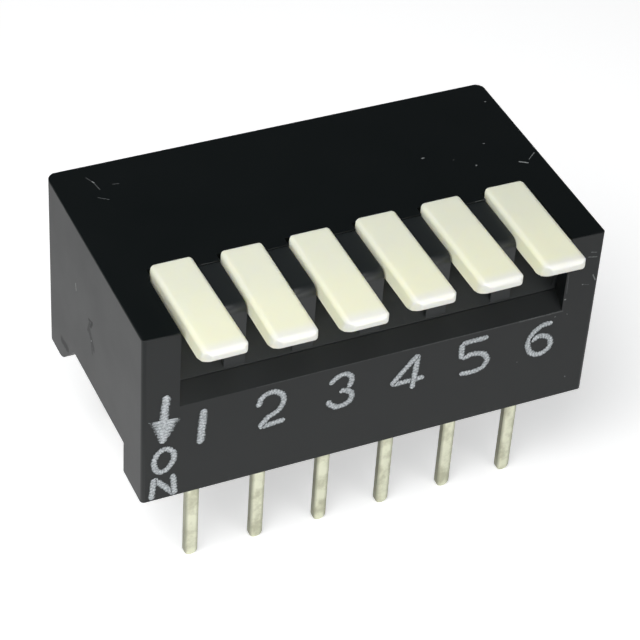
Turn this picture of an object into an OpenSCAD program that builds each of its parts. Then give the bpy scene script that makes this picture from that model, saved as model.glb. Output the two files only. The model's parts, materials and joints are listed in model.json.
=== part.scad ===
// Six-position side-actuated DIP switch, through-hole, in millimetres.
// X runs along the row of levers, the levers point to -Y, and +Z is up.
// The origin is the middle of the pin pattern in the plane that the body sits on.

/* [Body] */
// Length of the housing along the row, which sets how many levers fit in it
body_l = 17.32; // [7.16:2.54:32.56]
// Depth of the housing from front to back
body_d = 9.78; // [8.6:0.02:12]
// Height of the housing above the board
body_h = 7.32; // [6.9:0.02:9]
// Radius of the housing's upright front corners
corner_r = 0.15; // [0.1:0.05:0.4]
// Radius of the housing's upright rear corners
rear_corner_r = 0.45; // [0.1:0.05:0.5]
// Radius of the edges round the housing's top
top_edge_r = 0.06; // [0.02:0.01:0.12]
// Thickness of the housing's front and back walls
wall_t = 0.6; // [0.5:0.05:0.7]
// Thickness of the housing's side walls
side_t = 0.76; // [0.6:0.02:0.78]
// Thickness of the housing's top
roof_t = 0.9; // [0.6:0.05:1]

/* [Window] */
// Width of the post at each end of the opening that the levers come out of
post_w = 1.355; // [1.3:0.005:1.4]
// Height of the opening, from its lower edge to the housing's top
window_h = 3.23; // [3.1:0.01:3.4]
// How far the opening runs back over the top
top_open_d = 3.12; // [3:0.02:3.3]
// How far each lever's notch runs back over the top
notch_d = 3.5; // [3.5:0.02:3.6]
// Free width on each side of a lever in its notch
notch_gap = 0.06; // [0.04:0.01:0.09]
// Angle of the sloping wall below the levers, from level
ramp_angle = 44; // [40:1:47]

/* [Underside] */
// Depth of the leg at each front corner
leg_d = 1.76; // [1.4:0.02:2.4]
// Height of the cut between the legs and the rear feet
foot_h = 1.35; // [1:0.05:1.5]
// Radius of the round front of each rear foot
foot_r = 0.8; // [0.5:0.05:0.9]
// Length of the rear foot's flat sole
sole_d = 1.23; // [1:0.05:1.6]
// Thickness of the epoxy layer under the base
seal_t = 0.3; // [0.2:0.02:0.35]

/* [Levers] */
// Distance from one lever to the next
pitch = 2.54; // [2.54:0.01:2.55]
// Width of a lever
lever_w = 1.6; // [1.5:0.01:1.62]
// Thickness of a lever's thumb end
lever_t = 0.73; // [0.73:0.01:0.8]
// How far a lever reaches out of the front
lever_reach = 1.68; // [1.3:0.02:2]
// How far a lever's top stands above the housing
lever_proud = 0.2; // [0.1:0.01:0.25]
// Depth of a lever's rear end behind the front face
lever_rear_d = 3.39; // [3.2:0.01:3.4]
// Radius of a lever's front corners, seen from above
lever_corner_r = 0.34; // [0.1:0.02:0.4]
// Radius of a lever's rear corners, seen from above
lever_rear_r = 0.16; // [0.06:0.02:0.4]
// Radius of the thumb end's upper front edge
lever_nose_r = 0.2; // [0.1:0.01:0.2]
// Radius of the lever's long upper edges
lever_edge_r = 0.18; // [0.05:0.01:0.2]
// Radius of the thumb end's lower front edge
lever_under_r = 0.72; // [0.3:0.01:0.72]
// How far the lever's rear face reaches below the inner side of the housing's top
lever_heel = 0.1; // [0.05:0.01:0.15]
// Gap between a lever's round belly and the sloping wall that it passes
belly_gap = 0.06; // [0.04:0.01:0.15]
// Angle of a lever that is ON, from level, nose down
on_angle = 22; // [15:1:24]
// Angle by which the levers' rest positions at OFF differ through play
rest_play = 2.5; // [0:0.1:2.6]
// Largest angle by which a lever lies askew in its notch through play
rest_skew = 1.5; // [0:0.1:1.5]

/* [Pivot] */
// Depth of the pivot behind the front face
pivot_d = 3.9; // [3.85:0.01:4]
// Height from the pivot to the housing's top
pivot_drop = 2.32; // [2.3:0.01:2.4]
// Radius of the lever's hub
hub_r = 0.95; // [0.88:0.01:0.97]
// Radius of the trunnions
trunnion_r = 0.4; // [0.3:0.01:0.45]
// Length of a trunnion beyond the lever's side
trunnion_l = 0.35; // [0.25:0.01:0.4]
// Radial clearance of a trunnion in its notch
trunnion_gap = 0.04; // [0.02:0.01:0.08]

/* [Base] */
// Thickness of the partitions between the levers
partition_t = 0.78; // [0.6:0.01:0.8]
// How far a partition's top lies below the housing's top
partition_drop = 0.04; // [0.02:0.01:0.3]
// Depth of a partition's front edge behind the front face
partition_d = 0.66; // [0.64:0.01:1.1]
// Radius of a partition's upper front edge
partition_r = 0.32; // [0.1:0.02:0.5]
// Clearance between the base and the housing
base_gap = 0.02; // [0.01:0.005:0.03]
// Thickness of the sloping wall
ramp_t = 0.5; // [0.4:0.02:0.55]
// Thickness of the base's front and back walls
base_wall_t = 0.3; // [0.25:0.01:0.32]
// Depth of the sloping wall's upper edge behind the front face
ramp_d = 1.95; // [1.7:0.01:2]

/* [Contacts] */
// Distance from each row of pins to the face of the housing beside it
row_inset = 1.08; // [1:0.01:1.2]
// Width of a pin
pin_w = 0.51; // [0.4:0.01:0.6]
// Thickness of the terminal sheet
pin_t = 0.25; // [0.2:0.01:0.3]
// Length of a pin below the board's surface
pin_l = 4.2; // [2.5:0.05:5]
// Width of the contact pads inside
pad_w = 0.9; // [0.7:0.02:1.2]
// How far the front contact pads lie below the rear ones
pad_step = 0.45; // [0.3:0.01:0.6]
// Depth of the front pad's free edge behind the front face
front_pad_d = 2.9; // [2.7:0.02:3]
// How far from the front pad's free edge the wiper touches it
pad_run = 0.8; // [0.6:0.02:1]
// Depth of the rear pad's free edge behind the front face
rear_pad_d = 3.5; // [3.3:0.02:3.7]
// Inside radius of a terminal's bend
bend_r = 0.15; // [0.1:0.01:0.25]
// Thickness of the wiper's spring sheet
wiper_t = 0.12; // [0.1:0.01:0.14]
// Width of the wiper
wiper_w = 1; // [0.8:0.02:1.2]
// Gap between the wiper and a pad that it slides on
contact_gap = 0.06; // [0.04:0.01:0.08]
// Gap between the wiper's clip and the hub
clip_gap = 0.02; // [0.01:0.005:0.03]
// Radius of the bump at the wiper's tip
bump_r = 0.16; // [0.13:0.01:0.2]
// Clearance of a terminal in the base and the seal
slot_gap = 0.01; // [0.005:0.005:0.02]

/* [Hidden] */
$fn = 48;
window_w = body_l - 2 * post_w;
count = floor((window_w - lever_w - 2 * notch_gap) / pitch) + 1;
eps = 1;
front = -body_d / 2;
back = body_d / 2;
inner_front = front + wall_t;
inner_back = back - wall_t;
inner_w = body_l - 2 * side_t;
roof_z = body_h - roof_t;
window_z = body_h - window_h;
lever_top = body_h + lever_proud;
lever_low = lever_top - lever_t;
lever_tip_y = front - lever_reach;
lever_rear_y = front + lever_rear_d;
heel_z = roof_z - lever_heel;
pivot_y = front + pivot_d;
pivot_z = body_h - pivot_drop;
belly_r = pivot_d - ramp_d - belly_gap;
row_y = body_d / 2 - row_inset;
ramp_rise = tan(ramp_angle);
seal_z = foot_h;
floor_z = foot_h + seal_t;
clip_start = 216;
clip_end = 395;
clip_r = hub_r + clip_gap + wiper_t;
rear_pad_z = pivot_z - clip_r - contact_gap;
front_pad_z = rear_pad_z - pad_step;
partition_top = body_h - partition_drop;
partition_cap = roof_z - base_gap;
arm_tip_d = front_pad_d - pad_run;
end_wall_x = (count * pitch - partition_t) / 2;

function lever_x(i) = (i - (count + 1) / 2) * pitch;
function partition_x(i) = lever_x(i) + pitch / 2;

// Angle at which each lever rests, nose down, with the share of the play that lifts its nose
rest_lowest = 0.6;
lift_shares = [0.68, 0.12, 0, 0.64, 0.76, 1];
function rest_angle(i) = rest_lowest - rest_play * lift_shares[(i - 1) % len(lift_shares)];

// Angle at which each lever lies askew, seen from above
skew_shares = [0.4, -0.2, 0.2, 0, 0.1, -1];
slot_y = front + (partition_d + pivot_d + hub_r) / 2;
function skew_angle(i) = rest_skew * skew_shares[(i - 1) % len(skew_shares)];

// Draws an outline given in depth and height, and extrudes it along the row
module along_x(w) {
    rotate([90, 0, 90]) linear_extrude(w, center = true) children();
}

// Draws an outline given in X and Z, and extrudes it from front to back
module along_y(d) {
    rotate([90, 0, 0]) linear_extrude(d, center = true) children();
}

// Rectangle from one corner to the other
module span(a, b) {
    translate(a) square(b - a);
}

// Box from one corner to the other
module block(a, b) {
    translate(a) cube(b - a);
}

// Rectangle whose two upper corners are round
module round_top(a, b, r) {
    span(a, [b.x, b.y - r]);
    span([a.x + r, a.y], [b.x - r, b.y]);
    for (x = [a.x + r, b.x - r]) translate([x, b.y - r]) circle(r);
}

// Rectangle whose four corners are round
module round_all(a, b, r) {
    span([a.x + r, a.y], [b.x - r, b.y]);
    span([a.x, a.y + r], [b.x, b.y - r]);
    for (x = [a.x + r, b.x - r], y = [a.y + r, b.y - r]) translate([x, y]) circle(r);
}

// Opening between a front leg and a rear foot, seen from the side
module foot_cut() {
    foot_y = back - sole_d;
    side = foot_r * sin(45);
    slope_y = foot_y - side;
    slope_z = foot_r - side;
    difference() {
        polygon([
            [front + leg_d, -eps], [front + leg_d, foot_h],
            [slope_y - (foot_h - slope_z), foot_h], [slope_y, slope_z],
            [foot_y, foot_r], [foot_y, -eps]
        ]);
        translate([foot_y, foot_r]) circle(foot_r);
    }
}

// The housing's outer form: a block with round edges, cut away between its legs and feet
module housing_block() {
    intersection() {
        linear_extrude(body_h) intersection() {
            round_all([-body_l / 2, front], [body_l / 2, 2 * back], corner_r);
            round_all([-body_l / 2, 2 * front], [body_l / 2, back], rear_corner_r);
        }
        along_y(body_d + eps)
            round_top([-body_l / 2, -eps], [body_l / 2, body_h], top_edge_r);
        along_x(body_l + eps) difference() {
            round_top([front, -eps], [back, body_h], top_edge_r);
            foot_cut();
        }
    }
}

// Opening for the levers in the front and the top, with a sloping edge on the front wall
module window_cut() {
    open_y = front + top_open_d;
    slope_z = window_z + wall_t * ramp_rise;
    along_x(window_w) polygon([
        [front - eps, window_z], [front, window_z],
        [inner_front, slope_z], [open_y, slope_z],
        [open_y, body_h + eps], [front - eps, body_h + eps]
    ]);
}

// Notch behind the opening for a lever's rear end
module notch_cut(i) {
    half = lever_w / 2 + notch_gap;
    block([lever_x(i) - half, front + top_open_d - eps, roof_z - eps],
        [lever_x(i) + half, front + notch_d, body_h + eps]);
}

// Rib under the roof that holds the trunnions down in one partition's notch
module hold_down_rib(x1, x2) {
    half = trunnion_r + trunnion_gap - base_gap;
    block([x1, pivot_y - half, pivot_z + trunnion_r + trunnion_gap],
        [x2, pivot_y + half, roof_z]);
}

// Black cover, open below, that holds everything together
module housing() {
    color("#17181a") {
        difference() {
            housing_block();
            block([-inner_w / 2, inner_front, -eps], [inner_w / 2, inner_back, roof_z]);
            window_cut();
            for (i = [1:count]) notch_cut(i);
        }
        for (i = [1:count - 1])
            hold_down_rib(partition_x(i) - partition_t / 2, partition_x(i) + partition_t / 2);
        for (side = [-1, 1])
            hold_down_rib(min(side * end_wall_x, side * inner_w / 2),
                max(side * end_wall_x, side * inner_w / 2));
    }
}

// Side view of one partition, lower where it runs on under the housing's top
module partition_outline() {
    face_y = front + partition_d;
    step_y = front + top_open_d - base_gap;
    wall_y = inner_back - base_gap;
    difference() {
        union() {
            span([face_y, floor_z], [step_y, partition_top - partition_r]);
            span([face_y + partition_r, floor_z], [step_y, partition_top]);
            translate([face_y + partition_r, partition_top - partition_r]) circle(partition_r);
            span([step_y - eps, floor_z], [wall_y, partition_cap]);
        }
        translate([pivot_y, pivot_z]) circle(trunnion_r + trunnion_gap);
        span([pivot_y - trunnion_r - trunnion_gap, pivot_z],
            [pivot_y + trunnion_r + trunnion_gap, partition_cap + eps]);
    }
}

// Side view of the floor, stepped up at the back, with the front and back walls
module floor_outline() {
    wall_y = inner_front + base_gap;
    step_y = front + (front_pad_d + rear_pad_d) / 2;
    end_y = inner_back - base_gap;
    end_z = window_z + ramp_d * ramp_rise;
    span([wall_y, floor_z], [step_y, front_pad_z - pin_t]);
    span([step_y - eps, floor_z], [end_y, front_pad_z - pin_t]);
    span([step_y, floor_z], [end_y, rear_pad_z - pin_t]);
    span([wall_y, floor_z], [wall_y + base_wall_t, window_z]);
    span([end_y - base_wall_t, floor_z], [end_y, partition_cap]);
    polygon([
        [wall_y, window_z - ramp_t], [wall_y, window_z + (wall_y - front) * ramp_rise],
        [front + ramp_d, end_z], [front + ramp_d, end_z - ramp_t],
        [wall_y + base_wall_t, window_z + (wall_y + base_wall_t - front) * ramp_rise - ramp_t]
    ]);
}

// Black inner block with the partitions, the bearing notches and the slots for the terminals
module base() {
    end_t = inner_w / 2 - base_gap - end_wall_x;
    color("#1d1e20") difference() {
        union() {
            along_x(inner_w - 2 * base_gap) floor_outline();
            for (i = [1:count - 1])
                translate([partition_x(i), 0, 0])
                    along_x(partition_t) partition_outline();
            for (side = [-1, 1])
                translate([side * (end_wall_x + end_t / 2), 0, 0])
                    along_x(end_t) end_wall_outline();
        }
        for (i = [1:count]) {
            front_terminal_slot(i);
            rear_terminal_slot(i);
        }
    }
}

// Side view of an end wall, which stays below the housing's top all along
module end_wall_outline() {
    intersection() {
        partition_outline();
        span([front, floor_z], [back, partition_cap]);
    }
}

// Layer of epoxy that closes the housing from below
module seal() {
    color("#2a2622") difference() {
        block([-inner_w / 2 + base_gap, inner_front + base_gap, seal_z],
            [inner_w / 2 - base_gap, inner_back - base_gap, floor_z]);
        for (i = [1:count]) {
            front_terminal_slot(i);
            rear_terminal_slot(i);
        }
    }
}

// Side view of a terminal: a leg at leg_y, bent over at the top to run to end_y
module terminal_outline(leg_y, end_y, top, low) {
    side = sign(end_y - leg_y);
    outer_y = leg_y - side * pin_t / 2;
    inner_y = leg_y + side * pin_t / 2;
    bend_y = inner_y + side * bend_r;
    bend_z = top - pin_t - bend_r;
    span([min(outer_y, inner_y), low], [max(outer_y, inner_y), bend_z]);
    span([min(bend_y, end_y), top - pin_t], [max(bend_y, end_y), top]);
    intersection() {
        translate([bend_y, bend_z]) difference() {
            circle(bend_r + pin_t);
            circle(bend_r);
        }
        span([min(outer_y, bend_y), bend_z], [max(outer_y, bend_y), top]);
    }
}

// Front view of a terminal: a round tip, a pin, and a wider part inside the base
module terminal_face(top) {
    tip_z = -pin_l + pin_w / 2;
    translate([0, tip_z]) circle(pin_w / 2);
    span([-pin_w / 2, tip_z], [pin_w / 2, floor_z]);
    span([-pad_w / 2, floor_z], [pad_w / 2, top + eps]);
}

// One terminal of sheet metal: the pin, the part held in the base, and the contact pad
module terminal(i, leg_y, end_y, top) {
    translate([lever_x(i), 0, 0]) intersection() {
        along_x(pad_w) terminal_outline(leg_y, end_y, top, -pin_l - eps);
        along_y(body_d) terminal_face(top);
    }
}

// Room for a terminal in the base and the seal
module terminal_slot(i, leg_y, top) {
    half_t = pin_t / 2 + slot_gap;
    half_pin = pin_w / 2 + slot_gap;
    half_pad = pad_w / 2 + slot_gap;
    bend = bend_r + pin_t;
    bend_y = leg_y - sign(leg_y) * bend;
    translate([lever_x(i), 0, 0]) {
        block([-half_pin, leg_y - half_t, -eps], [half_pin, leg_y + half_t, floor_z]);
        block([-half_pad, leg_y - half_t, floor_z], [half_pad, leg_y + half_t, top + slot_gap]);
        block([-half_pad, min(leg_y, bend_y), top - bend],
            [half_pad, max(leg_y, bend_y), top + slot_gap]);
    }
}

module front_terminal_slot(i) {
    terminal_slot(i, -row_y, front_pad_z);
}

module rear_terminal_slot(i) {
    terminal_slot(i, row_y, rear_pad_z);
}

module front_terminal(i) {
    color("#cfc9ae") terminal(i, -row_y, front + front_pad_d, front_pad_z);
}

module rear_terminal(i) {
    color("#cfc9ae") terminal(i, row_y, front + rear_pad_d, rear_pad_z);
}

// Side view of a lever's flat upper bar, from its round nose to its rear end
module bar_outline() {
    nose_y = lever_tip_y + lever_nose_r;
    nose_z = lever_top - lever_nose_r;
    under_y = lever_tip_y + lever_under_r;
    under_z = lever_low + lever_under_r;
    intersection() {
        union() {
            span([lever_tip_y, under_z], [lever_rear_y, lever_top]);
            span([under_y, lever_low], [lever_rear_y, lever_top]);
            translate([under_y, under_z]) circle(lever_under_r);
        }
        union() {
            span([lever_tip_y, lever_low], [lever_rear_y, nose_z]);
            span([nose_y, lever_low], [lever_rear_y, lever_top]);
            translate([nose_y, nose_z]) circle(lever_nose_r);
        }
    }
}

// Side view of a lever: bar, stem, hub, and a round belly that closes the gap in front
module lever_outline() {
    stem_z = lever_low + lever_t / 2;
    heel_angle = 43;
    belly_start = 100;
    belly_end = 172;
    far = 2 * belly_r;
    bar_outline();
    polygon([
        [pivot_y, pivot_z], [pivot_y - belly_r / 2, stem_z],
        [lever_rear_y, stem_z], [lever_rear_y, heel_z],
        [pivot_y + hub_r * cos(heel_angle), pivot_z + hub_r * sin(heel_angle)]
    ]);
    translate([pivot_y, pivot_z]) {
        circle(hub_r);
        intersection() {
            circle(belly_r);
            polygon([
                [0, 0], far * [cos(belly_start), sin(belly_start)],
                far * [cos(belly_end), sin(belly_end)]
            ]);
        }
    }
}

// Room that the lever fills: its corners are round, and its hub below is as wide but longer
module lever_room() {
    half = lever_w / 2;
    linear_extrude(lever_top + eps) intersection() {
        round_all([-half, lever_tip_y], [half, back], lever_corner_r);
        round_all([-half, 2 * front], [half, lever_rear_y], lever_rear_r);
    }
    block([-half, front, 0], [half, back, heel_z]);
}

// Puts a lever, or what rides on it, where it rests: tilted about its pivot, askew in its slot
module at_rest(i) {
    translate([lever_x(i), slot_y, 0]) rotate([0, 0, skew_angle(i)])
        translate([0, pivot_y - slot_y, pivot_z]) rotate([rest_angle(i), 0, 0])
            translate([0, -pivot_y, -pivot_z]) children();
}

// White lever: a rocker with a flat thumb end and two short trunnions
module lever(i) {
    color("#e9e7d6") at_rest(i) {
        intersection() {
            along_x(lever_w) lever_outline();
            lever_room();
            along_y(2 * body_d) round_top([-lever_w / 2, 0], [lever_w / 2, lever_top], lever_edge_r);
        }
        translate([0, pivot_y, pivot_z]) rotate([0, 90, 0])
            cylinder(r = trunnion_r, h = lever_w + 2 * trunnion_l, center = true);
    }
}

// Side view of a wiper: a clip round the lower half of the hub, and an arm to the front pad
module wiper_outline() {
    far = 2 * clip_r;
    translate([pivot_y, pivot_z]) {
        difference() {
            circle(clip_r);
            circle(hub_r + clip_gap);
            polygon([
                [0, 0], far * [cos(clip_end), sin(clip_end)], [far, far], [-far, far],
                [-far, 0], far * [cos(clip_start), sin(clip_start)]
            ]);
        }
        rotate(-on_angle) wiper_arm();
    }
}

// The arm as it lies when the lever is ON, with its bump just above the front pad
module wiper_arm() {
    mid_r = clip_r - wiper_t / 2;
    root = mid_r * [cos(clip_start + on_angle), sin(clip_start + on_angle)];
    tip = [arm_tip_d - pivot_d, front_pad_z + contact_gap + bump_r - pivot_z];
    arm = tip - root;
    translate(root) circle(wiper_t / 2);
    translate(root) rotate(atan2(arm.y, arm.x))
        translate([0, -wiper_t / 2]) square([norm(arm), wiper_t]);
    translate(tip) circle(bump_r);
}

// Spring contact that rides on a lever's hub and joins the two pads when the lever is ON
module wiper(i) {
    color("#d9b45a") at_rest(i) along_x(wiper_w) wiper_outline();
}

housing();
base();
seal();
for (i = [1:count]) {
    lever(i);
    wiper(i);
    front_terminal(i);
    rear_terminal(i);
}
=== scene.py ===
# %% [markdown]
# # Dressing a six-lever dip switch
#
# The switch is a black moulded box, 17 mm long, with six cream levers in its front edge and two
# rows of flat tinned pins below. The imported solids give every size and every moving body. This
# file adds what solids lack: soft moulded edges, plastic and metal that answer the light, the
# marking on the front face, and the few scratches and specks of a switch that has been handled.
# Some light and shade is also painted into colours: shade at the rear of the levers and on the
# pins' side edges, and highlights on the levers' noses and along a few edges of the housing.

# %% Load the frame
import json
import math

import bmesh
import bpy
from mathutils import Matrix, Vector

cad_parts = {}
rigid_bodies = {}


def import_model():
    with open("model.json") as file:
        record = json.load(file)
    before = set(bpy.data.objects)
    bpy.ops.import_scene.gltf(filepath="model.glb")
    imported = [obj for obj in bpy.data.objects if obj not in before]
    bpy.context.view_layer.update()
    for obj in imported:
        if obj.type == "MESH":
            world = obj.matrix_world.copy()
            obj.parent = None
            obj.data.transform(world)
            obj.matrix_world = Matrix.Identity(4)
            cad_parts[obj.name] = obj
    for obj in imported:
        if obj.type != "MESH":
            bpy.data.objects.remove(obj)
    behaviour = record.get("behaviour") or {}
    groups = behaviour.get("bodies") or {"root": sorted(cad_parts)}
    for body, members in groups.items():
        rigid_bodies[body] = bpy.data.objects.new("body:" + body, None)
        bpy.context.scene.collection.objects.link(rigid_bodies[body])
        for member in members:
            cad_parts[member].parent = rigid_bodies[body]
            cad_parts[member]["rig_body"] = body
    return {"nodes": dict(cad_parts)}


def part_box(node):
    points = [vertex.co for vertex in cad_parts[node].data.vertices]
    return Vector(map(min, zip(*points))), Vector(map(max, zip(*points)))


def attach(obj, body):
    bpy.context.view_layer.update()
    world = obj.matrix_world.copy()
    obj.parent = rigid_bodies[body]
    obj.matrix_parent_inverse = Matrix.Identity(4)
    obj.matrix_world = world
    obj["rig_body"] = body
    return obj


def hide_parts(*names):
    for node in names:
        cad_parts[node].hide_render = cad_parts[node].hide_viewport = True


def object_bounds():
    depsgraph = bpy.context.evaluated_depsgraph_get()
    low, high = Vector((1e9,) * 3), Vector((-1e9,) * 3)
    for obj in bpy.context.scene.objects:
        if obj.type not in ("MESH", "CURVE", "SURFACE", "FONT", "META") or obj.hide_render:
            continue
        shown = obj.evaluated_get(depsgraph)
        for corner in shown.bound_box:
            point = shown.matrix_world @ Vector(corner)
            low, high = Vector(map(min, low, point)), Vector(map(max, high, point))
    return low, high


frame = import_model()
cad_low, cad_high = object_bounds()
MM = 0.001
LEVERS = range(1, 7)
housing_low, housing_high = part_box("housing")
front_y = housing_low.y
top_z = housing_high.z
lever_front = min(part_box(f"lever_{i}")[0].y for i in LEVERS)
print("housing, in mm:", [round(v / MM, 2) for v in housing_high - housing_low])

# %% [markdown]
# ## Camera
#
# A small object that is photographed from close by is usually seen through a long lens, so its
# far edges hardly shrink. The view was found by matching corners, pins and levers of the model to
# the photograph: it looks down by 40 degrees from the left of the front, and leans 4 degrees. The
# three axes of the camera are worked out from those angles, and no other tool is needed.

# %% Place the camera
VIEW_AZIMUTH = math.radians(-26.51)
VIEW_ELEVATION = math.radians(39.69)
VIEW_ROLL = math.radians(4.06)
VIEW_DISTANCE = 86.47 * MM
VIEW_TARGET = Vector((-0.477, -1.272, 3.077)) * MM
FOCAL_PIXELS = 2409.7
FRAME_PIXELS = 640
SENSOR_WIDTH = 36
NEAREST, FURTHEST = 1 * MM, 10


def from_front(azimuth, elevation):
    """Returns the direction that points away from the switch at these two angles."""
    flat = math.cos(elevation)
    return Vector((math.sin(azimuth) * flat, -math.cos(azimuth) * flat, math.sin(elevation)))


def add_camera():
    """Makes the camera that looks at the switch as the photograph does."""
    data = bpy.data.cameras.new("photo_camera")
    data.sensor_width = SENSOR_WIDTH
    data.lens = SENSOR_WIDTH * FOCAL_PIXELS / FRAME_PIXELS
    data.clip_start, data.clip_end = NEAREST, FURTHEST
    camera = bpy.data.objects.new("photo_camera", data)
    bpy.context.scene.collection.objects.link(camera)
    back = from_front(VIEW_AZIMUTH, VIEW_ELEVATION)
    level = Vector((0, 0, 1)).cross(back).normalized()
    upright = back.cross(level)
    right = math.cos(VIEW_ROLL) * level + math.sin(VIEW_ROLL) * upright
    up = back.cross(right)
    turn = Matrix((right, up, back)).transposed().to_4x4()
    camera.matrix_world = Matrix.Translation(VIEW_TARGET + back * VIEW_DISTANCE) @ turn
    bpy.context.scene.camera = camera
    return camera


camera = add_camera()
bpy.context.scene.view_settings.view_transform = "Standard"
print("lens, in mm:", round(camera.data.lens, 1))

# %% [markdown]
# ## Helpers for node trees
#
# The world, the floor and every material is a small network of nodes. Each helper adds one node
# with its values set, and returns it or the socket that its result comes out of. A value may be a
# number or a colour, and then it is set, or a socket of another node, and then it is linked.

# %% Node helpers
def feed(tree, socket, value):
    """Sets a socket to a value, or links it to another socket."""
    if isinstance(value, bpy.types.NodeSocket):
        tree.links.new(value, socket)
    else:
        socket.default_value = value


def add_node(tree, kind, settings=None, **values):
    """Adds a node, sets its properties and feeds its sockets, and returns it."""
    node = tree.nodes.new(kind)
    for key, value in (settings or {}).items():
        setattr(node, key, value)
    for key, value in values.items():
        feed(tree, node.inputs[key.replace("_", " ")], value)
    return node


def add_math(tree, operation, *values, clamp=False):
    """Adds a Math node, and returns its result."""
    node = add_node(tree, "ShaderNodeMath", {"operation": operation, "use_clamp": clamp})
    for socket, value in zip(node.inputs, values):
        feed(tree, socket, value)
    return node.outputs[0]


def add_vector_math(tree, operation, *values):
    """Adds a Vector Math node, and returns it."""
    node = add_node(tree, "ShaderNodeVectorMath", {"operation": operation})
    for socket, value in zip(node.inputs, values):
        feed(tree, socket, value)
    return node


def add_ramp(tree, value, low, high, to_low=0.0, to_high=1.0, kind="SMOOTHSTEP"):
    """Adds a Map Range node from low and high to two other values, and returns its result."""
    node = add_node(
        tree, "ShaderNodeMapRange", {"interpolation_type": kind},
        Value=value, From_Min=low, From_Max=high, To_Min=to_low, To_Max=to_high,
    )
    return node.outputs["Result"]


def add_blend(tree, share, first, second, kind="RGBA"):
    """Adds a Mix node from a first colour or value to a second one, and returns its result."""
    node = add_node(tree, "ShaderNodeMix", {"data_type": kind}, Factor=share, A=first, B=second)
    return node.outputs["Result"]


def add_object_place(tree):
    """Adds the place of each point of the surface, counted in the switch's own frame."""
    return add_node(tree, "ShaderNodeTexCoord").outputs["Object"]


def add_noise(tree, place, scale, detail, roughness=0.5):
    """Adds a noise texture, and returns its grey value."""
    node = add_node(
        tree, "ShaderNodeTexNoise", Vector=place, Scale=scale, Detail=detail, Roughness=roughness
    )
    return node.outputs["Fac"]


def new_group(name, inputs, outputs):
    """Starts a shader node group with named sockets, and returns its tree, input and output."""
    tree = bpy.data.node_groups.new(name, "ShaderNodeTree")
    for label, (kind, value) in inputs.items():
        socket = tree.interface.new_socket(name=label, in_out="INPUT", socket_type=kind)
        if value is not None:
            socket.default_value = value
    for label, kind in outputs.items():
        tree.interface.new_socket(name=label, in_out="OUTPUT", socket_type=kind)
    return tree, tree.nodes.new("NodeGroupInput"), tree.nodes.new("NodeGroupOutput")


def place_group(tree, group, values):
    """Places a node group in a material with its own values."""
    node = tree.nodes.new("ShaderNodeGroup")
    node.node_tree = group
    for key, value in values.items():
        node.inputs[key].default_value = value
    return node


def new_material(name, **values):
    """Starts a material with one Principled shader whose sockets have these values."""
    material = bpy.data.materials.new(name)
    material.use_nodes = True
    tree = material.node_tree
    shader = tree.nodes["Principled BSDF"]
    for key, value in values.items():
        shader.inputs[key.replace("_", " ")].default_value = value
    return material, tree, shader


print("helpers ready")

# %% [markdown]
# ## Light, floor and world
#
# Black plastic has almost no colour of its own: what is seen on it is the room. Here the sides
# mirror a white table, so they are dark grey, while the top mirrors a dark ceiling and stays
# nearly black. So the world is a gradient by height, pale near the horizon and dark above. A wide
# key lamp stands close on the left, so its light falls off from the first lever to the last. A
# weak front lamp fills the faces, and a still weaker one, high on the right, only shows as the
# dull gleam on the sloping wall inside.

# %% Light the set
WORLD_HORIZON = (0.42, 0.43, 0.44, 1)
WORLD_CEILING = (0.018, 0.022, 0.024, 1)
HORIZON_HEIGHT, CEILING_HEIGHT = 0.1, 0.45


def add_world():
    """Makes a world that is pale near the horizon and dark above."""
    world = bpy.data.worlds.new("studio_room")
    world.use_nodes = True
    tree = world.node_tree
    tree.nodes.clear()
    direction = add_node(tree, "ShaderNodeTexCoord").outputs["Generated"]
    split = add_node(tree, "ShaderNodeSeparateXYZ", Vector=direction)
    height = add_ramp(tree, split.outputs["Z"], HORIZON_HEIGHT, CEILING_HEIGHT)
    shade = add_blend(tree, height, WORLD_HORIZON, WORLD_CEILING)
    background = add_node(tree, "ShaderNodeBackground", Color=shade)
    add_node(tree, "ShaderNodeOutputWorld", Surface=background.outputs[0])
    bpy.context.scene.world = world


def add_soft_lamp(name, azimuth, elevation, distance, size, level):
    """Adds a square lamp aimed at the switch. At level 1 it alone shows a colour as it is written."""
    away = from_front(math.radians(azimuth), math.radians(elevation))
    data = bpy.data.lights.new(name, "AREA")
    data.size = size
    data.energy = level * math.pi**2 * distance**2
    lamp = bpy.data.objects.new(name, data)
    lamp.location = away * distance
    lamp.rotation_mode = "QUATERNION"
    lamp.rotation_quaternion = away.to_track_quat("Z", "Y")
    bpy.context.scene.collection.objects.link(lamp)
    print(name, "power, in mW:", round(data.energy * 1000))


add_world()
add_soft_lamp("key_lamp", azimuth=-55, elevation=57, distance=98 * MM, size=76 * MM, level=0.98)
add_soft_lamp("front_lamp", azimuth=10, elevation=12, distance=300 * MM, size=200 * MM, level=0.32)
add_soft_lamp("slope_lamp", azimuth=30, elevation=45, distance=300 * MM, size=180 * MM, level=0.06)

# %% [markdown]
# The floor is a big pale sheet at the height of the pins' tips. It glows a little towards the
# camera, which makes a white background, and still takes the shadow. The switch mirrors only a
# share of that glow, or its sides would turn pale.

# %% Lay the floor
FLOOR_SIZE = 4.0
FLOOR_COLOUR = (0.88, 0.88, 0.88, 1)
FLOOR_GLOW = 0.5
MIRRORED_SHARE = 0.45


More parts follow.
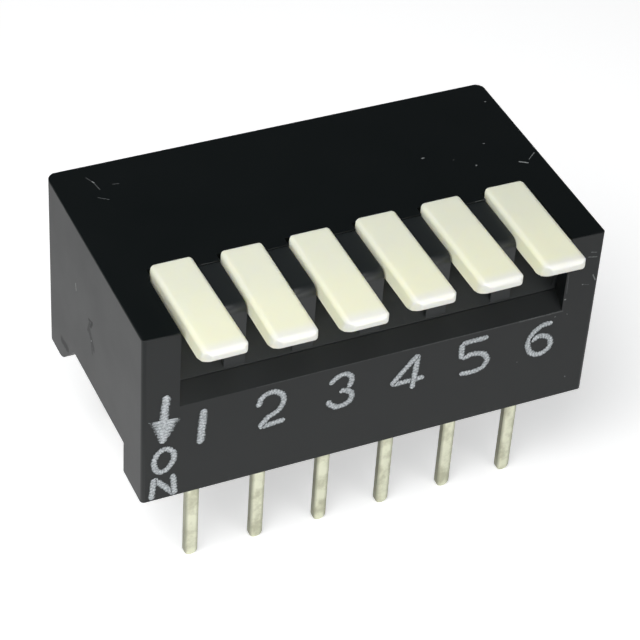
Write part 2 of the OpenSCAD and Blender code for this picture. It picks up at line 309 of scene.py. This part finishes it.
def make_pale_floor():
    """Matt white that glows for the camera, and less so in what the switch mirrors."""
    material = bpy.data.materials.new("pale_floor")
    material.use_nodes = True
    tree = material.node_tree
    tree.nodes.clear()
    path = add_node(tree, "ShaderNodeLightPath").outputs
    mirrored = add_math(tree, "MAXIMUM", path["Is Glossy Ray"], path["Is Transmission Ray"])
    mirrored = add_math(tree, "MULTIPLY", mirrored, MIRRORED_SHARE)
    seen = add_math(tree, "MAXIMUM", mirrored, path["Is Camera Ray"])
    matt = add_node(tree, "ShaderNodeBsdfDiffuse", Color=FLOOR_COLOUR)
    glow = add_node(tree, "ShaderNodeEmission", Strength=add_math(tree, "MULTIPLY", seen, FLOOR_GLOW))
    both = add_node(tree, "ShaderNodeAddShader")
    tree.links.new(matt.outputs[0], both.inputs[0])
    tree.links.new(glow.outputs[0], both.inputs[1])
    add_node(tree, "ShaderNodeOutputMaterial", Surface=both.outputs[0])
    return material


def add_floor():
    """Makes the floor at the height of the pins' tips."""
    sheet = bmesh.new()
    bmesh.ops.create_grid(sheet, x_segments=1, y_segments=1, size=FLOOR_SIZE / 2)
    bmesh.ops.translate(sheet, verts=sheet.verts, vec=(0, 0, cad_low.z))
    mesh = bpy.data.meshes.new("floor")
    sheet.to_mesh(mesh)
    sheet.free()
    mesh.materials.append(make_pale_floor())
    floor = bpy.data.objects.new("floor", mesh)
    bpy.context.scene.collection.objects.link(floor)
    return floor


floor = add_floor()
print("floor height, in mm:", round(cad_low.z / MM, 2))

# %% [markdown]
# ## Shared effects
#
# Moulded plastic is never quite smooth. It has the faint, even grain of the steel that it was
# moulded in, and a slow change in gloss from one end to the other. The grain is one noise, the
# gloss another, much wider one. They are made once as a node group, and every plastic uses it
# with its own values.

# %% Grain of moulded plastic
GRAINS_PER_METRE = 9000.0
GLOSS_PATCHES_PER_METRE = 420.0
GLOSS_SPREAD = 0.1


def make_moulded_grain():
    """Group: fine grain for a bump and slow changes of gloss."""
    tree, entry, leave = new_group(
        "moulded_grain",
        {
            "grains per metre": ("NodeSocketFloat", GRAINS_PER_METRE),
            "gloss spread": ("NodeSocketFloat", GLOSS_SPREAD),
        },
        {"height": "NodeSocketFloat", "gloss change": "NodeSocketFloat"},
    )
    place = add_object_place(tree)
    spread = entry.outputs["gloss spread"]
    grain = add_noise(tree, place, entry.outputs["grains per metre"], detail=3.0, roughness=0.6)
    patches = add_noise(tree, place, GLOSS_PATCHES_PER_METRE, detail=4.0, roughness=0.55)
    # The noise lies round a half, so half the spread is taken off to centre the change on zero.
    centring = add_math(tree, "MULTIPLY", spread, -0.5)
    change = add_math(tree, "MULTIPLY_ADD", patches, spread, centring)
    tree.links.new(grain, leave.inputs["height"])
    tree.links.new(change, leave.inputs["gloss change"])
    return tree


moulded_grain = make_moulded_grain()
print("group:", moulded_grain.name)

# %% [markdown]
# A scratch is a thin line between two points. The group finds how far each point of the surface
# is from that line, and answers with a mask. A little noise makes the line ragged. A speck is a
# scratch whose two points all but meet.

# %% Scratch between two points
SCRATCH_RAGGEDNESS = 14000.0
SCRATCH_OUTSIDE, SCRATCH_INSIDE = 1.25, 0.7


def make_scratch():
    """Group: a mask that is 1 on a ragged line from one point to another."""
    tree, entry, leave = new_group(
        "scratch",
        {
            "from": ("NodeSocketVector", None),
            "to": ("NodeSocketVector", None),
            "width": ("NodeSocketFloat", 0.1 * MM),
            "strength": ("NodeSocketFloat", 1.0),
        },
        {"mask": "NodeSocketFloat"},
    )
    place = add_object_place(tree)
    start, end = entry.outputs["from"], entry.outputs["to"]
    line = add_vector_math(tree, "SUBTRACT", end, start).outputs[0]
    offset = add_vector_math(tree, "SUBTRACT", place, start).outputs[0]
    along = add_vector_math(tree, "DOT_PRODUCT", offset, line).outputs["Value"]
    length = add_vector_math(tree, "DOT_PRODUCT", line, line).outputs["Value"]
    share = add_math(tree, "DIVIDE", along, length, clamp=True)
    foot = add_vector_math(tree, "SCALE", line)
    tree.links.new(share, foot.inputs["Scale"])
    gap = add_vector_math(tree, "DISTANCE", offset, foot.outputs[0]).outputs["Value"]
    widths_away = add_math(tree, "DIVIDE", gap, entry.outputs["width"])
    shake = add_noise(tree, place, SCRATCH_RAGGEDNESS, detail=2.0)
    edge = add_ramp(tree, add_math(tree, "ADD", widths_away, shake), SCRATCH_OUTSIDE, SCRATCH_INSIDE)
    mask = add_math(tree, "MULTIPLY", edge, entry.outputs["strength"])
    tree.links.new(mask, leave.inputs["mask"])
    return tree


def marks_mask(tree, marks):
    """Adds one scratch for each mark, and returns the socket that is 1 wherever one of them lies."""
    mask = None
    for start, end, width, strength in marks:
        values = {"from": start, "to": end, "width": width, "strength": strength}
        one = place_group(tree, scratch, values).outputs["mask"]
        mask = add_math(tree, "MAXIMUM", mask, one) if mask else one
    return mask


scratch = make_scratch()
print("group:", scratch.name)

# %% [markdown]
# ## Black plastic
#
# The housing and the inner block are black plastic. It is written very dark, because the light
# that it mirrors is added on top, and the block is a shade greyer, as it is between the levers of
# the real one. Scratches and specks are set at their places, in millimetres, and mixed in as a
# greyer, rougher surface, and so are a few painted highlights: thin pale lines along the window's
# lower edge and where the partitions meet the top's front edge. A rubbed place keeps its colour,
# but loses its gloss.

# %% Where the switch is scratched, and where highlights are painted
# Each mark: the two ends of its line on that face in mm, its width in mm, and its strength.
TOP_MARKS_AND_HIGHLIGHTS = [
    ((-7.37, 4.2), (-7.26, 3.96), 0.035, 0.16),
    ((-7.24, 3.92), (-7.2, 3.82), 0.035, 0.7),
    ((-7.21, 3.8), (-7.14, 3.38), 0.035, 0.2),
    ((-7.36, 2.96), (-7.04, 2.73), 0.03, 0.22),
    ((-6.61, 3.53), (-6.39, 3.49), 0.03, 0.18),
    ((4.42, 1.23), (4.49, 1.23), 0.05, 0.6),
    ((8.23, 3.69), (8.25, 3.69), 0.05, 0.5),
    ((6.95, 1.31), (6.99, 1.3), 0.045, 0.4),
    ((6.09, 0.18), (6.12, 0.18), 0.05, 0.6),
    ((5.46, 0.76), (5.48, 0.76), 0.035, 0.3),
    ((7.69, -0.14), (7.96, -0.32), 0.05, 0.7),
    ((8.09, -0.13), (8.47, 0.18), 0.03, 0.45),
    # Painted highlights: thin pale lines where the partitions meet the top's front edge, by the first and
    # the last lever.
    ((-5.34, -1.76), (-4.78, -1.78), 0.03, 0.08),
    ((5.08, -1.77), (5.5, -1.77), 0.03, 0.2),
]
FRONT_MARKS_AND_HIGHLIGHTS = [
    ((7.38, 5.68), (7.4, 4.87), 0.03, 0.12),
    ((7.37, 4.6), (7.39, 4.6), 0.05, 0.6),
    ((7.55, 3.89), (7.56, 3.87), 0.04, 0.25),
    ((7.05, 3.89), (7.08, 3.9), 0.04, 0.3),
    ((8.01, 5.11), (8.03, 5.11), 0.04, 0.5),
    ((8.06, 5.1), (8.28, 5.04), 0.03, 0.12),
    ((8.39, 5.45), (8.52, 5.19), 0.04, 0.4),
    ((8.17, 6.53), (8.38, 6.47), 0.035, 0.22),
    ((8.09, 6.33), (8.43, 6.26), 0.04, 0.25),
    ((7.86, 0.84), (7.89, 0.8), 0.045, 0.3),
    ((5.73, 2.15), (5.75, 2.15), 0.04, 0.2),
    # Painted highlight: a thin pale line along the window's lower edge.
    ((-4.5, 4.07), (1.0, 4.07), 0.035, 0.05),
    ((1.0, 4.07), (5.6, 4.07), 0.04, 0.08),
    ((5.6, 4.07), (7.33, 4.08), 0.055, 0.14),
]
SIDE_MARKS = [
    ((1.71, 4.76), (1.66, 4.5), 0.05, 0.75),
    ((0.1, 3.4), (0.12, 3.38), 0.05, 0.75),
]
# Dull places on the left side, where the gloss is rubbed off: they look darker than the rest.
SIDE_RUBS = [
    ((0.35, 4.19), (0.0, 4.28), 0.11, 0.3),
    ((0.0, 4.28), (0.17, 4.0), 0.13, 0.35),
    ((0.25, 4.1), (0.45, 3.6), 0.16, 0.2),
    ((0.3, 3.75), (-0.1, 3.2), 0.26, 0.2),
    ((0.1, 3.3), (0.0, 2.9), 0.14, 0.16),
    ((3.3, 0.9), (2.7, 0.95), 0.3, 0.25),
]


def on_top(x, y):
    """Returns a place on the housing's top face."""
    return Vector((x * MM, y * MM, top_z))


def on_front(x, z):
    """Returns a place on the housing's front face."""
    return Vector((x * MM, front_y, z * MM))


def on_left_side(y, z):
    """Returns a place on the housing's left side."""
    return Vector((housing_low.x, y * MM, z * MM))


def laid_on(face, marks):
    """Returns each mark as two places on a face of the housing, a width and a strength."""
    return [(face(*start), face(*end), width * MM, strength) for start, end, width, strength in marks]


housing_marks_and_highlights = [
    *laid_on(on_top, TOP_MARKS_AND_HIGHLIGHTS), *laid_on(on_front, FRONT_MARKS_AND_HIGHLIGHTS), *laid_on(on_left_side, SIDE_MARKS)
]
housing_rubs = laid_on(on_left_side, SIDE_RUBS)
print("marks:", len(housing_marks_and_highlights), "rubbed places:", len(housing_rubs))

# %% [markdown]
# One function makes both black plastics. The grain and the changes of gloss come first. A mark then
# makes its place paler and rougher, whether it is a scratch, a speck or a painted highlight, and a
# rubbed place is only made rougher.

# %% Black plastic, with or without marks
BLACK = (0.0016, 0.0032, 0.0035, 1)
DARK_GREY = (0.012, 0.0145, 0.0155, 1)
SCUFF_AND_HIGHLIGHT_GREY = (0.4, 0.42, 0.42, 1)
HOUSING_ROUGHNESS = 0.42
BLOCK_ROUGHNESS = 0.4
SCRATCHED_ROUGHNESS = 0.8
RUBBED_ROUGHNESS = 1.0
GRAIN_DEPTH = 0.004 * MM


def add_moulded_surface(tree, shader, roughness, bump_strength, grains=GRAINS_PER_METRE):
    """Gives a plastic its grain, and returns its roughness with the changes of gloss."""
    grain = place_group(tree, moulded_grain, {"grains per metre": grains}).outputs
    bump = add_node(
        tree, "ShaderNodeBump", Strength=bump_strength, Distance=GRAIN_DEPTH, Height=grain["height"]
    )
    tree.links.new(bump.outputs[0], shader.inputs["Normal"])
    return add_math(tree, "ADD", grain["gloss change"], roughness, clamp=True)


def make_black_plastic(name, colour, roughness, specular, marks=(), rubs=()):
    """Black moulded plastic with grain, changes of gloss, scratches, painted highlights and rubbed places.
    """
    material, tree, shader = new_material(name, Base_Color=colour, Specular_IOR_Level=specular)
    gloss = add_moulded_surface(tree, shader, roughness, bump_strength=0.25)
    if marks:
        mask = marks_mask(tree, marks)
        gloss = add_blend(tree, mask, gloss, SCRATCHED_ROUGHNESS, "FLOAT")
        # Scratches, specks and the painted highlights all turn paler here.
        tree.links.new(add_blend(tree, mask, colour, SCUFF_AND_HIGHLIGHT_GREY), shader.inputs["Base Color"])
    if rubs:
        gloss = add_blend(tree, marks_mask(tree, rubs), gloss, RUBBED_ROUGHNESS, "FLOAT")
    tree.links.new(gloss, shader.inputs["Roughness"])
    return material


housing_plastic = make_black_plastic(
    "housing_plastic", BLACK, HOUSING_ROUGHNESS, specular=0.4, marks=housing_marks_and_highlights, rubs=housing_rubs
)
block_plastic = make_black_plastic("block_plastic", DARK_GREY, BLOCK_ROUGHNESS, specular=0.5)
print("materials:", housing_plastic.name, block_plastic.name)

# %% [markdown]
# ## Cream plastic of the levers
#
# The levers are of a pale nylon that light enters a little. Subsurface scattering gives that: the
# end that stands out over the white table glows, and the end between black walls is duller. The
# scattering length is written in metres, and is a few tenths of a millimetre here. The colour
# runs from a greyish cream at the back, which is painted shade from the black walls, over a yellower
# one, to a nearly white nose, which is a painted highlight from the front light.

# %% Cream plastic
# The rear cream is painted shade, and the nose white is a painted highlight.
REAR_CREAM_PAINTED_SHADE = (0.86, 0.87, 0.71, 1)
FORE_CREAM = (0.93, 0.935, 0.71, 1)
NOSE_WHITE_PAINTED_HIGHLIGHT = (0.9, 0.9, 0.84, 1)
HAIRLINE = (0.5, 0.5, 0.4, 1)
FORE_END, REAR_START = front_y - 0.6 * MM, front_y + 2.4 * MM
NOSE_TIP, NOSE_END = lever_front + 0.12 * MM, lever_front + 0.75 * MM
LEVER_ROUGHNESS = 0.52
LEVER_GRAINS_PER_METRE = 6000.0
# Each hairline on the last lever: its two ends, its width and its strength.
LEVER_HAIRLINES = [
    (Vector((6.39, -1.42, 7.53)) * MM, Vector((6.66, -1.67, 7.53)) * MM, 0.02 * MM, 0.5),
    (Vector((6.66, -1.67, 7.53)) * MM, Vector((6.95, -1.98, 7.52)) * MM, 0.02 * MM, 0.35),
]


def make_lever_plastic():
    """Pale nylon, a little translucent, with painted shade at the back and a painted highlight on the
    nose.
    """
    material, tree, shader = new_material(
        "lever_plastic",
        Specular_IOR_Level=0.3,
        Subsurface_Weight=0.35,
        Subsurface_Radius=(1.0, 0.9, 0.6),
        Subsurface_Scale=0.35 * MM,
    )
    gloss = add_moulded_surface(
        tree, shader, LEVER_ROUGHNESS, bump_strength=0.2, grains=LEVER_GRAINS_PER_METRE
    )
    depth = add_node(tree, "ShaderNodeSeparateXYZ", Vector=add_object_place(tree)).outputs["Y"]
    # Painted shade greys the rear of each lever, and a painted highlight whitens its nose.
    cream = add_blend(tree, add_ramp(tree, depth, FORE_END, REAR_START), FORE_CREAM, REAR_CREAM_PAINTED_SHADE)
    pale = add_blend(tree, add_ramp(tree, depth, NOSE_TIP, NOSE_END), NOSE_WHITE_PAINTED_HIGHLIGHT, cream)
    marked = add_blend(tree, marks_mask(tree, LEVER_HAIRLINES), pale, HAIRLINE)
    tree.links.new(marked, shader.inputs["Base Color"])
    tree.links.new(gloss, shader.inputs["Roughness"])
    return material


lever_plastic = make_lever_plastic()
print("material:", lever_plastic.name)

# %% [markdown]
# ## Tinned and plated metal
#
# The terminals are stamped from sheet brass and tinned, which leaves a dull, warm grey with soft
# blotches and lines along the pin. Painted shade makes the tin darker towards the pins' side edges,
# so the material counts how far each place lies from the middle of the nearest pin. The wipers
# inside are gold plated, and are made the same way.

# %% Metal
TIN = (0.82, 0.83, 0.66, 1)
DARK_TIN = (0.56, 0.56, 0.42, 1)
GOLD = (0.6, 0.47, 0.25, 1)
DARK_GOLD = (0.42, 0.32, 0.18, 1)
PIN_HALF_WIDTH = 0.51 * MM / 2
LINE_STRETCH = 0.15
LINES_PER_METRE, BLOTCHES_PER_METRE = 9000.0, 1500.0
LINE_DEPTH = 0.006 * MM
BLOTCH_START, BLOTCH_FULL = 0.4, 0.68
SHINIER, DULLER = 0.08, 0.14
# Where the painted shade on the pins' side edges starts, where it is full, and how dark it gets.
SHADE_RIM_START, SHADE_RIM_FULL, SHADE_RIM_SHARE = 0.45, 1.02, 0.75
pin_low, pin_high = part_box("front_terminal_1")
first_x = (pin_low.x + pin_high.x) / 2
pitch = (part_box("front_terminal_6")[0].x - pin_low.x) / (len(LEVERS) - 1)


def make_plated_metal(name, light, dark, roughness, half_width):
    """Plated sheet metal with blotches, fine lines along its length and painted shade on its side edges.
    """
    material, tree, shader = new_material(name, Metallic=1.0)
    place = add_object_place(tree)
    drawn_out = add_node(tree, "ShaderNodeMapping", Vector=place, Scale=(1, 1, LINE_STRETCH))
    lines = add_noise(tree, drawn_out.outputs[0], LINES_PER_METRE, detail=4.0, roughness=0.6)
    blotches = add_noise(tree, place, BLOTCHES_PER_METRE, detail=5.0, roughness=0.6)
    colour = add_blend(tree, add_ramp(tree, blotches, BLOTCH_START, BLOTCH_FULL), light, dark)
    across = add_node(tree, "ShaderNodeSeparateXYZ", Vector=place).outputs["X"]
    aside = add_math(tree, "PINGPONG", add_math(tree, "SUBTRACT", across, first_x), pitch / 2)
    # Painted shade: the colour darkens towards each pin's side edges.
    edge = add_ramp(tree, aside, SHADE_RIM_START * half_width, SHADE_RIM_FULL * half_width, to_high=SHADE_RIM_SHARE)
    rim = (*(0.5 * v for v in dark[:3]), 1)
    tree.links.new(add_blend(tree, edge, colour, rim), shader.inputs["Base Color"])
    gloss = add_ramp(tree, lines, 0.0, 1.0, roughness - SHINIER, roughness + DULLER, "LINEAR")
    tree.links.new(gloss, shader.inputs["Roughness"])
    bump = add_node(tree, "ShaderNodeBump", Strength=0.35, Distance=LINE_DEPTH, Height=lines)
    tree.links.new(bump.outputs[0], shader.inputs["Normal"])
    return material


tinned_brass = make_plated_metal("tinned_brass", TIN, DARK_TIN, 0.4, PIN_HALF_WIDTH)
gold_spring = make_plated_metal("gold_spring", GOLD, DARK_GOLD, 0.38, pitch)
print("materials:", tinned_brass.name, gold_spring.name)

# %% [markdown]
# ## Soft edges
#
# A moulded edge is never a perfect line: it has a small radius that catches a thread of light, and
# without it a model looks cut from paper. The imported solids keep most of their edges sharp, so
# each visible one gets a piece that stands for it. A copy of its mesh is merged, its flat faces
# are joined again, and every sharp edge is bevelled. The large flat faces then keep their own
# normals, so that only the bevels between them shade round.
#
# The noses of the levers have rounder corners still. Planes cut each one off, and at last the lever
# is rebuilt from small voxels and smoothed, which lets the cuts and bevels run into each other.

# %% Round the sharp edges of a solid
HOUSING_EDGE, BLOCK_EDGE, LEVER_EDGE, PIN_EDGE = 0.02 * MM, 0.01 * MM, 0.06 * MM, 0.025 * MM
BEVELLED_ABOVE = math.radians(28)
FLAT_WITHIN = math.radians(0.6)
SMOOTH_BELOW = math.radians(40)
MERGE_DISTANCE = 0.0002 * MM
LEVER_VOXEL = 0.035 * MM
SMOOTHING_PASSES = 3
FLAT_FACE_WEIGHT = 50


def cut_corner(shape, outward, depth):
    """Cuts the corner that reaches furthest outward off a closed shape, and closes the cut."""
    reach = max(v.co.dot(outward) for v in shape.verts)
    everything = [*shape.verts, *shape.edges, *shape.faces]
    cut = bmesh.ops.bisect_plane(
        shape, geom=everything, plane_co=outward * (reach - depth), plane_no=outward, clear_outer=True
    )
    rim = [part for part in cut["geom_cut"] if isinstance(part, bmesh.types.BMEdge)]
    bmesh.ops.edgenet_fill(shape, edges=rim)


def softened(node, width, segments=2, corners=()):
    """Copies a solid's mesh, cuts the given corners off it and bevels its sharp edges."""
    shape = bmesh.new()
    shape.from_mesh(frame["nodes"][node].data)
    bmesh.ops.remove_doubles(shape, verts=shape.verts, dist=MERGE_DISTANCE)
    bmesh.ops.dissolve_limit(
        shape, angle_limit=FLAT_WITHIN, verts=shape.verts, edges=shape.edges, use_dissolve_boundaries=False
    )
    for outward, depth in corners:
        cut_corner(shape, outward, depth)
    bmesh.ops.bevel(
        shape, geom=[e for e in shape.edges if e.is_manifold and e.calc_face_angle(0) > BEVELLED_ABOVE],
        offset=width, offset_type="OFFSET", segments=segments, profile=0.5, affect="EDGES",
        clamp_overlap=True, material=-1, loop_slide=True,
    )
    for face in shape.faces:
        face.smooth = True
    mesh = bpy.data.meshes.new(f"{node}_moulded")
    shape.to_mesh(mesh)
    shape.free()
    mesh.set_sharp_from_angle(angle=SMOOTH_BELOW)
    return mesh


def blended(mesh, voxel):
    """Rebuilds a mesh from small voxels and smooths it, so that cuts and bevels run together."""
    mesh.transform(Matrix.Scale(1 / MM, 4))
    holder = bpy.data.objects.new("holder", mesh)
    bpy.context.scene.collection.objects.link(holder)
    rebuild = holder.modifiers.new("rebuild", "REMESH")
    rebuild.mode = "VOXEL"
    rebuild.voxel_size = voxel / MM
    smooth = holder.modifiers.new("smooth", "SMOOTH")
    smooth.factor = 0.5
    smooth.iterations = SMOOTHING_PASSES
    evaluated = holder.evaluated_get(bpy.context.evaluated_depsgraph_get())
    result = bpy.data.meshes.new_from_object(evaluated)
    bpy.data.objects.remove(holder)
    result.transform(Matrix.Scale(MM, 4))
    result.polygons.foreach_set("use_smooth", [True] * len(result.polygons))
    return result


def stand_for(node, mesh, flat_faces=True):
    """Makes a piece from a mesh, which rides on the solid's body and stands for that solid."""
    solid = frame["nodes"][node]
    piece = bpy.data.objects.new(f"{node}_moulded", mesh)
    if flat_faces:
        flats = piece.modifiers.new("flats_stay_flat", "WEIGHTED_NORMAL")
        flats.mode = "FACE_AREA"
        flats.weight = FLAT_FACE_WEIGHT
        flats.keep_sharp = True
    bpy.context.scene.collection.objects.link(piece)
    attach(piece, solid["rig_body"])
    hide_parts(node)
    return piece


def coat(piece, material):
    """Gives a piece or a solid its one material."""
    piece.data.materials.clear()
    piece.data.materials.append(material)


def dress(piece, material):
    """Gives a piece its material."""
    coat(piece, material)


housing = stand_for("housing", softened("housing", HOUSING_EDGE))
dress(housing, housing_plastic)
print("housing faces:", len(housing.data.polygons))

# %% [markdown]
# The block inside, the levers and the pins are dressed in the same way. The wipers and the seal
# hardly show, so they keep their solids and only get a material.

# %% Inner block, levers and terminals
# Each cut of a lever's nose: the way that it faces, and how far it reaches in.
NOSE_CUTS = [
    (Vector((-1, -1, -0.6)).normalized(), 0.15 * MM),
    (Vector((-1, -0.35, -0.5)).normalized(), 0.05 * MM),
    (Vector((1, -1, -0.6)).normalized(), 0.035 * MM),
]
dress(stand_for("base", softened("base", BLOCK_EDGE)), block_plastic)
for i in LEVERS:
    lever_mesh = blended(softened(f"lever_{i}", LEVER_EDGE, segments=3, corners=NOSE_CUTS), LEVER_VOXEL)
    dress(stand_for(f"lever_{i}", lever_mesh, flat_faces=False), lever_plastic)
    for row in ("front", "rear"):
        pin = f"{row}_terminal_{i}"
        dress(stand_for(pin, softened(pin, PIN_EDGE)), tinned_brass)
    coat(frame["nodes"][f"wiper_{i}"], gold_spring)
coat(frame["nodes"]["seal"], block_plastic)

# %% [markdown]
# ## Marking on the front
#
# The numbers, the arrow and the word ON are burnt into the black plastic by a laser, which writes
# each stroke as a fine zigzag and leaves a pale, ragged line with dark gaps. A text font would be
# too even for that. So each stroke is a flat strip: a grid whose length follows the stroke and
# whose sides are laid across it. A map on the strip says how far along and how far across each
# place lies, and the material draws the zigzag from it.

# %% Where the strokes run
# Each stroke: its points on the front face in mm, half its width, and whether it is curved.
STROKES = [
    # The arrow's shaft and its head
    ([(-7.79, 4.74), (-7.88, 3.5)], [0.18], False),
    ([(-7.815, 3.64), (-7.91, 2.6)], [0.62, 0.1], False),
    # ON, one letter below the other
    ([(-8.21, 1.8), (-8.07, 2.17), (-7.8, 2.3), (-7.54, 2.13), (-7.48, 1.8), (-7.66, 1.42),
      (-7.92, 1.27), (-8.13, 1.42), (-8.21, 1.8)], [0.135], True),
    ([(-8.29, 0.06), (-8.21, 1.04)], [0.135], False),
    ([(-8.21, 1.04), (-7.42, 0.07)], [0.135], False),
    ([(-7.42, 0.07), (-7.51, 1.05)], [0.135], False),
    # 1
    ([(-6.42, 3.71), (-6.52, 2.13)], [0.17], False),
    # 2
    ([(-4.41, 3.14), (-4.26, 3.56), (-3.88, 3.7), (-3.54, 3.49), (-3.46, 3.14), (-3.65, 2.78),
      (-4.02, 2.56), (-4.34, 2.19)], [0.135], True),
    ([(-4.34, 2.17), (-3.36, 2.28)], [0.135], False),
    # 3
    ([(-1.71, 3.33), (-1.59, 3.5), (-1.4, 3.63), (-1.17, 3.68), (-0.93, 3.54), (-0.89, 3.29),
      (-0.99, 3.0)], [0.13], True),
    ([(-1.34, 2.89), (-1.12, 2.92), (-0.9, 2.77), (-0.84, 2.56), (-0.93, 2.35), (-1.16, 2.24),
      (-1.43, 2.24), (-1.66, 2.43), (-1.77, 2.62)], [0.135], True),
    # 4
    ([(1.65, 3.74), (0.67, 2.59)], [0.135], False),
    ([(0.67, 2.59), (1.98, 2.6)], [0.135], False),
    ([(1.65, 3.74), (1.54, 2.17)], [0.135], False),
    # 5
    ([(4.41, 3.74), (3.37, 3.71)], [0.135], False),
    ([(3.37, 3.71), (3.4, 3.0)], [0.135], False),
    ([(3.42, 2.99), (3.82, 3.1), (4.27, 2.99), (4.46, 2.68), (4.34, 2.38), (3.97, 2.25),
      (3.39, 2.28)], [0.135], True),
    # 6
    ([(7.0, 3.67), (6.62, 3.63), (6.3, 3.43), (6.11, 3.08), (6.1, 2.75), (6.32, 2.38), (6.68, 2.29),
      (6.98, 2.5), (7.02, 2.78), (6.84, 3.05), (6.5, 3.14), (6.18, 2.98)], [0.135], True),
]
STROKE_STEP = 0.03


def curve_point(a, b, c, d, t):
    """Returns the point at share t of a smooth curve from b to c, whose neighbours are a and d."""
    square, cube = 2 * a - 5 * b + 4 * c - d, 3 * b - a - 3 * c + d
    return 0.5 * (2 * b + (c - a) * t + square * t**2 + cube * t**3)


def steps_between(a, b):
    """Returns how many steps a stroke takes from one point to the next."""
    return max(2, round((b - a).length / STROKE_STEP))


def along_stroke(points, curved):
    """Returns closely spaced points on a stroke: straight, or curved smoothly through its points."""
    points = [Vector(p) for p in points]
    if not curved:
        steps = steps_between(*points)
        return [points[0].lerp(points[1], k / steps) for k in range(steps + 1)]
    closed = points[0] == points[-1]
    before = points[-2] if closed else 2 * points[0] - points[1]
    after = points[1] if closed else 2 * points[-1] - points[-2]
    bent = [before, *points, after]
    found = []
    for a, b, c, d in zip(bent, bent[1:], bent[2:], bent[3:]):
        steps = steps_between(b, c)
        found += [curve_point(a, b, c, d, k / steps) for k in range(steps)]
    return [*found, points[-1]]


print("strokes:", len(STROKES))

# %% [markdown]
# A strip starts as a flat grid. Its columns are moved to the places along the stroke, and its two
# sides are set half the stroke's width away. The ends of a plain stroke are drawn in to a round
# tip. The arrow's head is a strip that narrows to its point, and the letter O closes on itself.

# %% Lay the strips
NARROWEST_END = 0.02
MARKING_LIFT = 0.004 * MM
MARKING_LAYER = 0.0008 * MM
MARKING_LAYERS = 4


def lay_strip(shape, map_layer, points, widths, curved, height):
    """Adds one strip to the shape: a grid laid along a stroke, with its map in millimetres."""
    line = along_stroke(points, curved)
    lengths = [0.0]
    for a, b in zip(line, line[1:]):
        lengths.append(lengths[-1] + (b - a).length)
    last = len(line) - 1
    round_ends = len(widths) == 1 and points[0] != points[-1]
    grid = bmesh.ops.create_grid(shape, x_segments=last, y_segments=2, size=1)["verts"]
    place = {}
    for vert in grid:
        k = round((vert.co.x + 1) / 2 * last)
        across = vert.co.y
        ahead = (line[min(k + 1, last)] - line[max(k - 1, 0)]).normalized()
        half = widths[0] + (widths[-1] - widths[0]) * k / last
        if round_ends:
            end = min(lengths[k], lengths[last] - lengths[k], half) / half
            half *= math.sqrt(max(NARROWEST_END, 1 - (1 - end) ** 2))
        spot = line[k] + Vector((-ahead.y, ahead.x)) * half * across
        place[vert] = (lengths[k], across)
        vert.co = Vector((spot.x * MM, front_y - height, spot.y * MM))
    for face in {f for vert in grid for f in vert.link_faces}:
        for loop in face.loops:
            loop[map_layer].uv = place[loop.vert]


def make_front_marking():
    """Makes the marking: one mesh of strips, each a hair above the last where they cross."""
    shape = bmesh.new()
    map_layer = shape.loops.layers.uv.new("along_stroke")
    for k, (points, widths, curved) in enumerate(STROKES):
        height = MARKING_LIFT + MARKING_LAYER * (k % MARKING_LAYERS)
        lay_strip(shape, map_layer, points, widths, curved, height)
    if sum(f.normal.y for f in shape.faces) > 0:
        bmesh.ops.reverse_faces(shape, faces=shape.faces)
    mesh = bpy.data.meshes.new("front_marking")
    shape.to_mesh(mesh)
    shape.free()
    piece = bpy.data.objects.new("front_marking", mesh)
    bpy.context.scene.collection.objects.link(piece)
    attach(piece, "switch_body")
    return piece


marking = make_front_marking()
print("marking faces:", len(marking.data.polygons))

# %% [markdown]
# The zigzag is a triangle wave. The distance of a place from the wave, counted across the strip,
# gives the pale line, and a noise breaks it up as the burnt plastic does. Towards the sides of the
# strip everything fades back to the black plastic, so the strip itself doesn't show.

# %% Laser marked plastic
BURNT = (0.6, 0.63, 0.65, 1)
SINGED = (0.25, 0.27, 0.28, 1)
BURNT_ROUGHNESS = 0.85
BURNS_PER_METRE = 11000.0
ZIGZAG = 0.066
ZIGZAG_REACH = 0.95
ZIGZAG_SWAY = 0.12
LINE_OUTSIDE, LINE_INSIDE = 1.3, 0.35
BROKEN_BELOW, WHOLE_ABOVE, BROKEN_SHARE = 0.36, 0.6, 0.1
SIDE_RAGGEDNESS = 1.7
SIDE_OUTSIDE, SIDE_INSIDE = 1.8, 1.45


def make_laser_marked():
    """Black plastic with a pale burnt zigzag that follows the strips' map."""
    material, tree, shader = new_material("laser_marked_plastic", Specular_IOR_Level=0.4)
    chart = add_node(tree, "ShaderNodeUVMap", {"uv_map": "along_stroke"}).outputs["UV"]
    along, across, _ = add_node(tree, "ShaderNodeSeparateXYZ", Vector=chart).outputs
    shake = add_noise(tree, add_object_place(tree), BURNS_PER_METRE, detail=3.0, roughness=0.7)
    swayed = add_math(tree, "MULTIPLY_ADD", shake, ZIGZAG_SWAY, along)
    wave = add_math(tree, "PINGPONG", swayed, ZIGZAG)
    swing = add_ramp(tree, wave, 0.0, ZIGZAG, -ZIGZAG_REACH, ZIGZAG_REACH, "LINEAR")
    gap = add_math(tree, "ABSOLUTE", add_math(tree, "SUBTRACT", across, swing))
    line = add_ramp(tree, gap, LINE_OUTSIDE, LINE_INSIDE)
    whole = add_ramp(tree, shake, BROKEN_BELOW, WHOLE_ABOVE, to_low=BROKEN_SHARE)
    inner = add_blend(tree, add_math(tree, "MULTIPLY", line, whole), SINGED, BURNT)
    from_middle = add_math(tree, "ABSOLUTE", across)
    ragged = add_math(tree, "MULTIPLY_ADD", shake, SIDE_RAGGEDNESS, from_middle)
    side = add_ramp(tree, ragged, SIDE_OUTSIDE, SIDE_INSIDE)
    dull = add_ramp(tree, side, 0.0, 1.0, HOUSING_ROUGHNESS, BURNT_ROUGHNESS, "LINEAR")
    tree.links.new(add_blend(tree, side, BLACK, inner), shader.inputs["Base Color"])
    tree.links.new(dull, shader.inputs["Roughness"])
    return material


dress(marking, make_laser_marked())
print("marking laid on the front, at", round(front_y / MM, 2), "mm")
